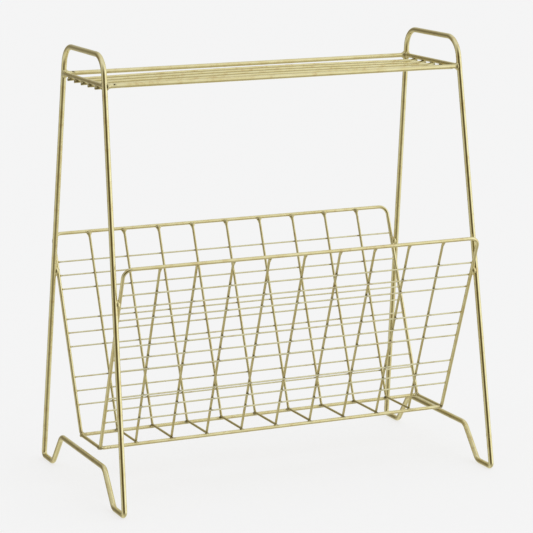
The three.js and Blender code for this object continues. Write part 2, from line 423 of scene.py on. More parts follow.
def make_finishes() -> Finishes:
    """Makes the rack's materials.

    Returns:
        The materials.
    """
    return Finishes(
        # Drawn rod, bent, then plated: a pale gold with a bright band each side of a dark core.
        frame=plating_on(FRAME_ROD, "bent rod"),
        # Straight drawn rod: the same gold, with its highlight in one unbroken line.
        shelf=plating_on(SHELF_ROD, "rod"),
        # Thin drawn wire: a narrower highlight, so the gold looks more even.
        slat=plating_on(SLAT_WIRE, "wire"),
        # Drawn rod, bent: bright along the rims, and darker on the sides that lean.
        basket=plating_on(BASKET_ROD, "bent rod"),
        # Bent wire deep in the basket: a slightly duller, greyer gold, which paints the shade that
        # falls there.
        rib=plating_on(RIB_WIRE, "bent wire", colour="#E1D7A7", deep_colour="#CDBC7F"),
        # The thinnest wire takes the thinnest plating: a paler gold, with fainter patches.
        wire=plating_on(PANEL_WIRE, "drawn wire", colour="#E8E3C2", deep_colour="#D9D0A4"),
        # Cast weld metal under the plating: lumpy and duller, without drawing lines.
        weld=BrassPlating("Satin brass plating over weld beads", roughness=0.28).make(),
        # Small dark brown specks: painted shade in small craters on the edge rods by the left legs.
        crater_shade=BrassPlating(
            "Thin brass plating over burnt spatter",
            colour="#5A4B2A",
            deep_colour="#43371B",
            roughness=0.35,
        ).make(),
    )


# ---- Rods ----


@dataclass(frozen=True)
class Corner:
    """A corner of a rod's centreline, and the radius that it is bent to there."""

    point: Vector
    bend: float = 0.0


class BentRod:
    """Round rod that is fed out and bent, ring by ring, in a bmesh of its own."""

    UNWRAPPED = "unwrapped"
    BEND_STEP = math.radians(6)
    END_CHAMFER = 0.3 * MM
    END_RISE = 0.15 * MM

    def __init__(self, stock: RodStock) -> None:
        """Takes a length of stock.

        Args:
            stock: the rod's size.
        """
        self.stock = stock
        self.mesh = bmesh.new()
        self.side_of = self.mesh.verts.layers.int.new("side")
        self.along_of = self.mesh.verts.layers.float.new("along")
        self.tip = Vector()
        self.heading = Z_AXIS.copy()
        self.fed = 0.0
        self.ring: list[bmesh.types.BMVert | bmesh.types.BMEdge] = []
        self.first_ring: list[bmesh.types.BMVert | bmesh.types.BMEdge] = []

    def start(self, point: Vector, heading: Vector) -> None:
        """Sets the rod's first ring.

        Args:
            point: where the rod starts.
            heading: the direction that it sets out in.
        """
        self.tip = point.copy()
        self.heading = heading.normalized()
        turned = self.heading.to_track_quat("Z", "Y").to_matrix().to_4x4()
        made = bmesh.ops.create_circle(
            self.mesh,
            segments=self.stock.sides,
            radius=self.stock.radius,
            matrix=Matrix.Translation(point) @ turned,
        )
        for side, vert in enumerate(made["verts"]):
            vert[self.side_of] = side
        self.ring = [*made["verts"], *self.mesh.edges]
        self.first_ring = list(self.ring)

    def feed(self, length: float) -> None:
        """Feeds the rod out straight.

        Args:
            length: how far.
        """
        steps = max(1, round(length / (self.stock.feed_mm * MM)))
        step = self.heading * (length / steps)
        for _ in range(steps):
            made = bmesh.ops.extrude_edge_only(self.mesh, edges=self._edges())
            self._take_ring(made["geom"], step.length)
            bmesh.ops.translate(self.mesh, verts=self._verts(), vec=step)
            self.tip += step

    def bend(self, radius: float, turn: float, axis: Vector) -> None:
        """Bends the rod round a centre.

        Args:
            radius: the bend's radius, to the rod's centreline.
            turn: the angle that it turns through.
            axis: the direction of the bend's axis.
        """
        centre = self.tip + axis.cross(self.heading) * radius
        steps = max(2, math.ceil(turn / self.BEND_STEP))
        turned = Matrix.Rotation(turn / steps, 3, axis)
        for _ in range(steps):
            made = bmesh.ops.spin(
                self.mesh,
                geom=self.ring,
                cent=centre,
                axis=axis,
                dvec=(0.0, 0.0, 0.0),
                angle=turn / steps,
                steps=1,
                use_merge=False,
                use_normal_flip=False,
                use_duplicate=False,
            )
            self._take_ring(made["geom_last"], radius * turn / steps)
            self.heading = turned @ self.heading
            self.tip = centre + turned @ (self.tip - centre)

    def follow(self, corners: Sequence[Corner]) -> "BentRod":
        """Feeds and bends the rod through a run of corners.

        Args:
            corners: the corners in order; the first and the last are the rod's ends.

        Returns:
            The rod itself.
        """
        self.start(corners[0].point, corners[1].point - corners[0].point)
        for corner, after in zip(corners[1:], corners[2:]):
            leaving = (after.point - corner.point).normalized()
            turn = self.heading.angle(leaving)
            setback = corner.bend * math.tan(turn / 2)
            self.feed((corner.point - self.tip).length - setback)
            self.bend(corner.bend, turn, self.heading.cross(leaving).normalized())
        self.feed((corners[-1].point - self.tip).length)
        return self

    def cut(self) -> bmesh.types.BMesh:
        """Cuts the rod off, with a small chamfer on both ends, and unwraps it.

        Returns:
            The rod's closed mesh.
        """
        for ring in (self.first_ring, self.ring):
            self._close_end(ring)
        self._unwrap()
        layers = self.mesh.verts.layers
        layers.int.remove(self.side_of)
        # Removing one layer makes what was kept of the other stale, so it is looked up again.
        layers.float.remove(layers.float["along"])
        return self.mesh

    def _verts(self) -> list[bmesh.types.BMVert]:
        """The last ring's vertices."""
        return [part for part in self.ring if isinstance(part, bmesh.types.BMVert)]

    def _edges(self) -> list[bmesh.types.BMEdge]:
        """The last ring's edges."""
        return [part for part in self.ring if isinstance(part, bmesh.types.BMEdge)]

    def _take_ring(self, made: Iterable[bmesh.types.BMElemSeq], advance: float) -> None:
        """Makes the new ring the last one, and notes how far along the rod it is.

        Args:
            made: what the operator made.
            advance: how far the new ring is from the last one.
        """
        self.ring = [part for part in made if not isinstance(part, bmesh.types.BMFace)]
        self.fed += advance
        for vert in self._verts():
            vert[self.along_of] = self.fed

    def _close_end(self, ring: Iterable[bmesh.types.BMVert | bmesh.types.BMEdge]) -> None:
        """Closes one end with a flat face, and chamfers it.

        Args:
            ring: the end's vertices and edges.
        """
        edges = [part for part in ring if isinstance(part, bmesh.types.BMEdge)]
        end_face = bmesh.ops.contextual_create(self.mesh, geom=edges)["faces"][0]
        bmesh.ops.recalc_face_normals(self.mesh, faces=self.mesh.faces)
        chamfer = {"thickness": self.END_CHAMFER, "depth": 0.0}
        bmesh.ops.inset_individual(self.mesh, faces=[end_face], **chamfer)
        out = end_face.normal * self.END_RISE
        bmesh.ops.translate(self.mesh, verts=list(end_face.verts), vec=out)

    def _unwrap(self) -> None:
        """Lays the rod out flat: once round is 0 to 1 across, and the length is in metres up."""
        self.mesh.verts.index_update()
        layer = self.mesh.loops.layers.uv.new(self.UNWRAPPED)
        sides = self.stock.sides
        for rod_face in self.mesh.faces:
            around = [loop.vert[self.side_of] for loop in rod_face.loops]
            wraps = len(around) == 4 and max(around) - min(around) > sides / 2
            for loop, side in zip(rod_face.loops, around):
                turn = side + sides if wraps and side < sides / 2 else side
                loop[layer].uv = (turn / sides, loop.vert[self.along_of])


def straight_rod(stock: RodStock, start: Vector, end: Vector) -> bmesh.types.BMesh:
    """A straight rod from one point to another."""
    return BentRod(stock).follow([Corner(start), Corner(end)]).cut()


def closed_rod(stock: RodStock, corners: Sequence[Corner], seam: Vector) -> bmesh.types.BMesh:
    """A rod bent to a closed loop, whose two ends meet at the seam.

    Args:
        stock: the rod's size.
        corners: the loop's corners, from the seam round to the seam.
        seam: where the ends meet.

    Returns:
        The loop's closed mesh.
    """
    out = (corners[0].point - seam).normalized() * SEAM_GAP
    back = (corners[-1].point - seam).normalized() * SEAM_GAP
    return BentRod(stock).follow([Corner(seam + out), *corners, Corner(seam + back)]).cut()


def rod_line(node: str) -> tuple[Vector, Vector]:
    """The centreline of a straight rod that lies along X or Y.

    Args:
        node: the rod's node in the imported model.

    Returns:
        The line's two ends, the lower coordinate first.
    """
    low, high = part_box(node)
    middle = (low + high) / 2
    run = 0 if high.x - low.x > high.y - low.y else 1
    start, end = middle.copy(), middle.copy()
    start[run], end[run] = low[run], high[run]
    return start, end


# ---- Welds ----


class WeldShade:
    """Remembers every weld, and darkens the plating round each one on every piece with pits and
    painted shade.
    """

    ATTRIBUTE = "weld_shade"
    STRENGTH = 1.5

    def __init__(self) -> None:
        """Starts with no welds."""
        self.welds: list[tuple[Vector, float]] = []

    def note(self, point: Vector, reach: float) -> None:
        """Remembers a weld.

        Args:
            point: where it is.
            reach: how far from it the plating is darkened by pits and painted shade.
        """
        self.welds.append((point.copy(), reach))

    def paint(self, pieces: Iterable[bpy.types.Object]) -> None:
        """Writes each piece's darkening by pits and painted shade to its vertices.

        Args:
            pieces: the pieces to paint.
        """
        tree = kdtree.KDTree(len(self.welds))
        for index, (point, _) in enumerate(self.welds):
            tree.insert(point, index)
        tree.balance()
        furthest = max(reach for _, reach in self.welds)
        for piece in pieces:
            shades = [self._shade(tree, furthest, vert.co) for vert in piece.data.vertices]
            layer = piece.data.attributes.new(self.ATTRIBUTE, "FLOAT", "POINT")
            layer.data.foreach_set("value", shades)

    def _shade(self, tree: kdtree.KDTree, furthest: float, point: Vector) -> float:
        """How dark the plating is at a point, from pits and painted shade.

        Args:
            tree: the welds' places.
            furthest: the longest reach of any weld.
            point: the point.

        Returns:
            The darkening, from 0 to 1.
        """
        near = tree.find_range(point, furthest)
        shares = [1 - distance / self.welds[index][1] for _, index, distance in near]
        return min(1.0, self.STRENGTH * max([0.0, *shares]))


@dataclass(frozen=True)
class Joint:
    """Where weld metal is laid.

    Attributes:
        point: the middle of a bead, or the root of a fillet.
        up: the direction of its height.
        along: the direction of its length.
    """

    point: Vector
    up: Vector
    along: Vector

    @property
    def placing(self) -> Matrix:
        """The turn and the move from the origin to the joint."""
        up = self.up.normalized()
        along = (self.along - up * self.along.dot(up)).normalized()
        turned = Matrix((along, up.cross(along), up)).transposed().to_4x4()
        return Matrix.Translation(self.point) @ turned


@dataclass(frozen=True)
class Fillet:
    """The size of a fillet weld where a rod's end meets the side of another rod.

    Attributes:
        rod_radius: the radius of the rod that ends there.
        along: how far the weld spreads along the other rod.
        across: how far it spreads round the other rod.
        height: how far it climbs up the rod that ends there.
        sink: how deep its foot goes into the other rod.
    """

    rod_radius: float
    along: float
    across: float
    height: float
    sink: float

    @property
    def shade_reach(self) -> float:
        """How far from its root the plating is darkened by pits and painted crevice shade."""
        return self.rod_radius + self.height / 4 + 0.8 * MM


@dataclass(frozen=True)
class Bead:
    """The size of a rounded bead.

    Attributes:
        along: its radius along the joint.
        across: its radius across the joint.
        up: its radius away from the joint.
        shade_reach: how far from its middle the plating is darkened by pits and painted shade, or 0
            where it is bright all round.
    """

    along: float
    across: float
    up: float
    shade_reach: float = 0.0


class WeldBeads:
    """The weld metal of one group of joints, in one bmesh."""

    SIDES = 16
    RINGS = 6
    FLARE = 1.9
    FOOT_TAPER = (0.8, 0.7)
    SEAM_SIDES = 24
    SEAM_RINGS = 10
    # A seam's half length and crown, as shares of the rod's radius.
    SEAM_LENGTH = 1.4
    SEAM_CROWN = 0.03
    # The lumps in the metal: their spacing, and how far they stand out. A nugget's stand out by a
    # share of its smallest radius.
    LUMP_SPACING = 1.3 * MM
    FILLET_LUMPS = 0.12 * MM
    SEAM_LUMPS = 0.1 * MM
    NUGGET_LUMPS = 0.22

    def __init__(self, shade: WeldShade) -> None:
        """Starts with no metal laid down.

        Args:
            shade: where each weld is noted.
        """
        self.mesh = bmesh.new()
        self.shade = shade

    def fillet(self, joint: Joint, size: Fillet) -> None:
        """Lays a fillet round the end of a rod.

        Args:
            joint: its root, where the ending rod's centreline meets the other rod's surface, with
                its height back along the ending rod and its length along the other rod.
            size: the fillet's size.
        """
        made = bmesh.ops.create_circle(self.mesh, segments=self.SIDES, radius=size.rod_radius)
        verts = list(made["verts"])
        bmesh.ops.translate(self.mesh, verts=verts, vec=(0.0, 0.0, size.height))
        first = edges = self._ring_edges(verts)
        last = (size.rod_radius, size.rod_radius)
        for step in range(1, self.RINGS + 1):
            flare = (step / self.RINGS) ** self.FLARE
            radii = (size.rod_radius + size.along * flare, size.rod_radius + size.across * flare)
            shares = (radii[0] / last[0], radii[1] / last[1])
            ring, edges = self._next_ring(edges, shares, -size.height / self.RINGS)
            verts += ring
            last = radii
        ring, edges = self._next_ring(edges, self.FOOT_TAPER, -size.sink)
        self._close(first, edges)
        self._set_down(verts + ring, joint, self.FILLET_LUMPS)
        self.shade.note(joint.point, size.shade_reach)

    def nugget(self, joint: Joint, size: Bead) -> None:
        """Lays a rounded, lumpy bead where two rods cross or meet.

        Args:
            joint: its middle and directions.
            size: the bead's size.
        """
        made = bmesh.ops.create_icosphere(self.mesh, subdivisions=3, radius=1.0)
        lumps = self.NUGGET_LUMPS * min(size.along, size.across, size.up)
        self._round_bead(made["verts"], joint, size, lumps)

    def spot(self, joint: Joint, size: Bead) -> None:
        """Lays the small plain bead of a resistance weld between two thin wires.

        Args:
            joint: its middle and directions.
            size: the bead's size.
        """
        made = bmesh.ops.create_uvsphere(self.mesh, u_segments=8, v_segments=5, radius=1.0)
        self._round_bead(made["verts"], joint, size, 0.0)

    def seam(self, point: Vector, along: Vector, rod_radius: float) -> None:
        """Lays the low ring of a butt weld, where a bent rod's two ends meet.

        Args:
            point: where they meet.
            along: the rod's direction there.
            rod_radius: the rod's radius.
        """
        half_length, crown = self.SEAM_LENGTH * rod_radius, self.SEAM_CROWN * rod_radius
        radius = foot = rod_radius - crown
        made = bmesh.ops.create_circle(self.mesh, segments=self.SEAM_SIDES, radius=foot)
        verts = list(made["verts"])
        bmesh.ops.translate(self.mesh, verts=verts, vec=(0.0, 0.0, -half_length))
        first = edges = self._ring_edges(verts)
        for step in range(1, self.SEAM_RINGS + 1):
            wider = foot + 2 * crown * math.sin(math.pi * step / self.SEAM_RINGS)
            share, rise = wider / radius, 2 * half_length / self.SEAM_RINGS
            ring, edges = self._next_ring(edges, (share, share), rise)
            verts += ring
            radius = wider
        self._close(first, edges)
        self._set_down(verts, Joint(point, along, along.orthogonal()), self.SEAM_LUMPS)

    def _round_bead(
        self, verts: list[bmesh.types.BMVert], joint: Joint, size: Bead, lumps: float
    ) -> None:
        """Makes a bead of a ball.

        Args:
            verts: the ball's vertices.
            joint: the bead's middle and directions.
            size: the bead's size.
            lumps: how far its lumps stand out.
        """
        bmesh.ops.scale(self.mesh, verts=verts, vec=(size.along, size.across, size.up))
        self._set_down(verts, joint, lumps)
        if size.shade_reach:
            self.shade.note(joint.point, size.shade_reach)

    def _ring_edges(self, verts: Iterable[bmesh.types.BMVert]) -> list[bmesh.types.BMEdge]:
        """The edges of a ring that nothing has been extruded from yet."""
        return list({edge for vert in verts for edge in vert.link_edges})

    def _next_ring(
        self, edges: list[bmesh.types.BMEdge], shares: tuple[float, float], rise: float
    ) -> tuple[list[bmesh.types.BMVert], list[bmesh.types.BMEdge]]:
        """Extrudes a level ring to the next one.

        Args:
            edges: the ring's edges.
            shares: how much wider the next ring is, along and across.
            rise: how much higher it is.

        Returns:
            The next ring's vertices and edges.
        """
        made = bmesh.ops.extrude_edge_only(self.mesh, edges=edges)["geom"]
        verts = [part for part in made if isinstance(part, bmesh.types.BMVert)]
        bmesh.ops.scale(self.mesh, verts=verts, vec=(*shares, 1.0))
        bmesh.ops.translate(self.mesh, verts=verts, vec=(0.0, 0.0, rise))
        return verts, [part for part in made if isinstance(part, bmesh.types.BMEdge)]

    def _close(self, *rings: list[bmesh.types.BMEdge]) -> None:
        """Closes each open ring with a flat face."""
        for edges in rings:
            bmesh.ops.contextual_create(self.mesh, geom=edges)

    def _set_down(self, verts: list[bmesh.types.BMVert], joint: Joint, lumps: float) -> None:
        """Turns upright metal to its joint, moves it there and makes it a little lumpy.

        Args:
            verts: the metal's vertices.
            joint: where it goes.
            lumps: how far its lumps stand out.
        """
        bmesh.ops.transform(self.mesh, matrix=joint.placing, verts=verts)
        for vert in verts:
            outward = (vert.co - joint.point).normalized()
            vert.co += outward * lumps * noise.noise(vert.co / self.LUMP_SPACING)


# ---- Pieces ----


@dataclass
class Workshop:
    """Turns finished meshes into the rack's pieces and keeps a list of them."""

    finishes: Finishes
    shade: WeldShade = field(default_factory=WeldShade)
    pieces: list[bpy.types.Object] = field(default_factory=list)

    def add(
        self,
        name: str,
        mesh: bmesh.types.BMesh,
        finish: bpy.types.Material,
        slot: str,
        *stands_for: str,
    ) -> None:
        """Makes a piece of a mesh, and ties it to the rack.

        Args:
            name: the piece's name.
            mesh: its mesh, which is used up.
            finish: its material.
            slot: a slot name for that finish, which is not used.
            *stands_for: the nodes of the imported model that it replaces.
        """
        bmesh.ops.recalc_face_normals(mesh, faces=mesh.faces)
        # The tube's own faces are shaded smooth, and the flat face that closes each end is not.
        for mesh_face in mesh.faces:
            mesh_face.smooth = len(mesh_face.verts) <= 4
        for edge in mesh.edges:
            edge.smooth = all(mesh_face.smooth for mesh_face in edge.link_faces)
        data = bpy.data.meshes.new(name)
        mesh.to_mesh(data)
        mesh.free()
        data.materials.append(finish)
        piece = bpy.data.objects.new(name, data)
        bpy.context.scene.collection.objects.link(piece)
        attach(piece, BODY)
        if stands_for:
            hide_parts(*stands_for)
        self.pieces.append(piece)
        LOG.info("%s: %d faces, %s", name, len(data.polygons), finish.name)

    def add_straight(
        self,
        name: str,
        stock: RodStock,
        node: str,
        let_in: float,
        finish: bpy.types.Material,
        slot: str,
    ) -> tuple[Vector, Vector]:
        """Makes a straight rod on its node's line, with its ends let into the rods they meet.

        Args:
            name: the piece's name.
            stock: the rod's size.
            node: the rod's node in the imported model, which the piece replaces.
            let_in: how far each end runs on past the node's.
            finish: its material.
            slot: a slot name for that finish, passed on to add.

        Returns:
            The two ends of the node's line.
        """
        start, end_point = rod_line(node)
        more = (end_point - start).normalized() * let_in
        rod = straight_rod(stock, start - more, end_point + more)
        self.add(name, rod, finish, slot, node)
        return start, end_point

    def beads(self) -> WeldBeads:
        """Starts the weld metal of a group of joints."""
        return WeldBeads(self.shade)

    def add_welds(self, name: str, beads: WeldBeads, slot: str) -> None:
        """Makes a piece of a group's weld metal."""
        self.add(name, beads.mesh, self.finishes.weld, slot)


@dataclass(frozen=True)
class LegLines:
    """The straight lines that the legs follow, from their feet up to the handle bars.

    Attributes:
        foot: the outer corner of the right back foot, on the rod's centreline.
        handle: the right handle bar's back corner, on the rod's centreline.
    """

    foot: Vector
    handle: Vector

    def at(self, height: float, end: End = End.RIGHT, face: Face = Face.BACK) -> Vector:
        """The point of a leg's line at a height.

        Args:
            height: the height above the floor.
            end: which end of the rack.
            face: the front or the back leg.

        Returns:
            The point.
        """
        share = (height - self.foot.z) / (self.handle.z - self.foot.z)
        point = self.foot.lerp(self.handle, share)
        return Vector((end.value * point.x, face.value * point.y, height))

    def direction(self, end: End, face: Face) -> Vector:
        """The direction up a leg."""
        return (self.at(self.handle.z, end, face) - self.at(self.foot.z, end, face)).normalized()


@dataclass
class EndFrame:
    """One end frame: a rod bent round the handle, the legs, the feet and the bridge."""

    end: End
    handle_half_depth: float = 60.0 * MM
    foot_half_depth: float = 131.44 * MM
    foot_length: float = 32.0 * MM
    bridge_height: float = 40.0 * MM
    bridge_half_depth: float = 69.5 * MM
    handle_bend: float = 24.0 * MM
    foot_outer_bend: float = 4.5 * MM
    foot_inner_bend: float = 11.0 * MM
    bridge_bend: float = 13.0 * MM
    seam_height: float = 39.0 * MM
    slot: str = "end_frame_brass"

    def leg_lines(self) -> LegLines:
        """The legs' lines.

        Returns:
            The lines, from the box of the right end frame.
        """
        low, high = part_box("end_frame_right")
        radius = FRAME_ROD.radius
        foot = Vector((high.x - radius, self.foot_half_depth, low.z + radius))
        handle = Vector((low.x + radius, self.handle_half_depth, high.z - radius))
        return LegLines(foot, handle)

    def build(self, shop: Workshop) -> None:
        """Makes the bent rod and the seam where its ends meet.

        Args:
            shop: where the pieces go.
        """
        lines = self.leg_lines()
        seam = lines.at(self.seam_height, End.RIGHT, Face.FRONT)
        rod = closed_rod(FRAME_ROD, self._corners(lines), seam)
        if self.end is End.LEFT:
            bmesh.ops.rotate(rod, verts=rod.verts, matrix=Matrix.Rotation(math.pi, 3, "Z"))
        beads = shop.beads()
        up_leg = lines.direction(End.RIGHT, Face.FRONT)
        beads.seam(self._turned(seam), self._turned(up_leg), FRAME_ROD.radius)
        label = self.end.label
        name = f"{label}_end_frame"
        shop.add(name, rod, shop.finishes.frame, self.slot, f"end_frame_{label}")
        shop.add_welds(f"{name}_seam", beads, self.slot)

    def _turned(self, vector: Vector) -> Vector:
        """The left end frame is the right one turned half a turn about the rack's middle."""
        return Vector((self.end.value * vector.x, self.end.value * vector.y, vector.z))

    def _corners(self, lines: LegLines) -> list[Corner]:
        """The right end frame's corners.

        Args:
            lines: the legs' lines.

        Returns:
            The corners, from the seam up the front leg and round.
        """
        top, floor = lines.handle.z, lines.foot.z
        inner_foot = self.foot_half_depth - self.foot_length
        back_half = [
            Corner(Vector((lines.at(height).x, depth, height)), bend)
            for depth, height, bend in (
                (self.handle_half_depth, top, self.handle_bend),
                (self.foot_half_depth, floor, self.foot_outer_bend),
                (inner_foot, floor, self.foot_inner_bend),
                (self.bridge_half_depth, self.bridge_height, self.bridge_bend),
            )
        ]
        front_half = [
            Corner(Vector((corner.point.x, -corner.point.y, corner.point.z)), corner.bend)
            for corner in reversed(back_half)
        ]
        return [front_half[-1], *back_half, *front_half[:-1]]


@dataclass
class Shelf:
    """The shelf: edge rods and cross rods between the legs, and the slats under the cross rods."""

    lines: LegLines
    slat_count: int = 5
    slat_steps: int = 24
    let_in: float = 1.4 * MM
    leg_weld: Fillet = Fillet(
        SHELF_ROD.radius, along=2.4 * MM, across=0.8 * MM, height=3.8 * MM, sink=1.5 * MM
    )
    # The darkening round a slat's bead is painted shade under the cross rod, and the darkening of a
    # slat's end is painted shade on its cut face.
    slat_bead: Bead = Bead(along=2.7 * MM, across=2.2 * MM, up=1.5 * MM, shade_reach=4.7 * MM)
    slat_bead_drop: float = 0.1 * MM
    slat_end_dulls: float = 2.7 * MM
    # The dark specks on the edge rods are painted shade in small craters.
    crater_shade_bead: Bead = Bead(along=0.85 * MM, across=0.8 * MM, up=0.4 * MM, shade_reach=2.05 * MM)
    crater_shade_distance: float = 7.0 * MM
    crater_shade_height: float = 2.4 * MM
    slot: str = "shelf_brass"

    def build(self, shop: Workshop) -> None:
        """Makes the shelf's rods, slats and welds.

        Args:
            shop: where the pieces go.
        """
        finishes = shop.finishes
        rods = [(f"{face.label}_shelf_rod", f"shelf_edge_rod_{face.label}") for face in Face]
        rods += [(f"{end.label}_cross_rod", f"shelf_cross_rod_{end.label}") for end in End]
        for name, node in rods:
            shop.add_straight(name, SHELF_ROD, node, self.let_in, finishes.shelf, self.slot)
        slats = [f"shelf_slat_{number}" for number in range(1, self.slat_count + 1)]
        for node in slats:
            name = node.removeprefix("shelf_")
            shop.add(name, self._slat(node), finishes.slat, self.slot, node)
        for end in End:
            beads = shop.beads()
            self._weld_to_legs(beads, end)
            for node in slats:
                self._weld_slat(beads, end, node)
            shop.add_welds(f"{end.label}_shelf_welds", beads, self.slot)
        self._crater_shade(shop)

    def _slat(self, node: str) -> bmesh.types.BMesh:
        """A slat: a wire that rises in one long shallow arc between its ends.

        Args:
            node: the slat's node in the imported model.

        Returns:
            The slat's mesh.
        """
        low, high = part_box(node)
        half_length = (high.x - low.x) / 2
        crown = high.z - low.z - 2 * SLAT_WIRE.radius
        arc_radius = (half_length**2 + crown**2) / (2 * crown)
        half_turn = math.asin(half_length / arc_radius)
        rod = BentRod(SLAT_WIRE)
        start = Vector((low.x, (low.y + high.y) / 2, low.z + SLAT_WIRE.radius))
        rod.start(start, Matrix.Rotation(-half_turn, 3, "Y") @ X_AXIS)
        for _ in range(self.slat_steps):
            rod.bend(arc_radius, 2 * half_turn / self.slat_steps, Y_AXIS)
        return rod.cut()

    def _weld_to_legs(self, beads: WeldBeads, end: End) -> None:
        """Lays the welds of the edge rods and of one cross rod to the legs.

        Args:
            beads: the weld metal that they join.
            end: which end of the rack.
        """
        outward = X_AXIS * end.value
        _, cross_end = rod_line(f"shelf_cross_rod_{end.label}")
        for face in Face:
            side = Y_AXIS * face.value
            leg = self.lines.direction(end, face)
            _, edge_end = rod_line(f"shelf_edge_rod_{face.label}")
            root = Vector((end.value * edge_end.x, edge_end.y, edge_end.z)) + outward * WELD_GAP
            beads.fillet(Joint(root, -outward, leg), self.leg_weld)
            root = Vector((cross_end.x, face.value * cross_end.y, cross_end.z)) + side * WELD_GAP
            beads.fillet(Joint(root, -side, leg), self.leg_weld)

    def _weld_slat(self, beads: WeldBeads, end: End, node: str) -> None:
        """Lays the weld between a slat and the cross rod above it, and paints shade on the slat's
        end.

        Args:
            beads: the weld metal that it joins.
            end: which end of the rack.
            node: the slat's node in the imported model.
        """
        low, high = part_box(node)
        cross, _ = rod_line(f"shelf_cross_rod_{end.label}")
        below = cross.z - SHELF_ROD.radius - self.slat_bead_drop
        point = Vector((cross.x, (low.y + high.y) / 2, below))
        beads.nugget(Joint(point, Z_AXIS, X_AXIS), self.slat_bead)
        tip_x = high.x if end is End.RIGHT else low.x
        tip = Vector((tip_x, point.y, low.z + SLAT_WIRE.radius))
        # Painted shade on the slat's cut end.
        beads.shade.note(tip, self.slat_end_dulls)

    def _crater_shade(self, shop: Workshop) -> None:
        """Lays a dark speck of painted crater shade on top of each edge rod, a little way in from
        the left legs.

        Args:
            shop: where the piece goes.
        """
        crater_specks = shop.beads()
        up = (Z_AXIS - Y_AXIS).normalized()
        for face in Face:
            start, _ = rod_line(f"shelf_edge_rod_{face.label}")
            point = start + X_AXIS * self.crater_shade_distance + up * self.crater_shade_height
            crater_specks.spot(Joint(point, up, X_AXIS), self.crater_shade_bead)
        shop.add("left_shelf_spatter", crater_specks.mesh, shop.finishes.crater_shade, self.slot)


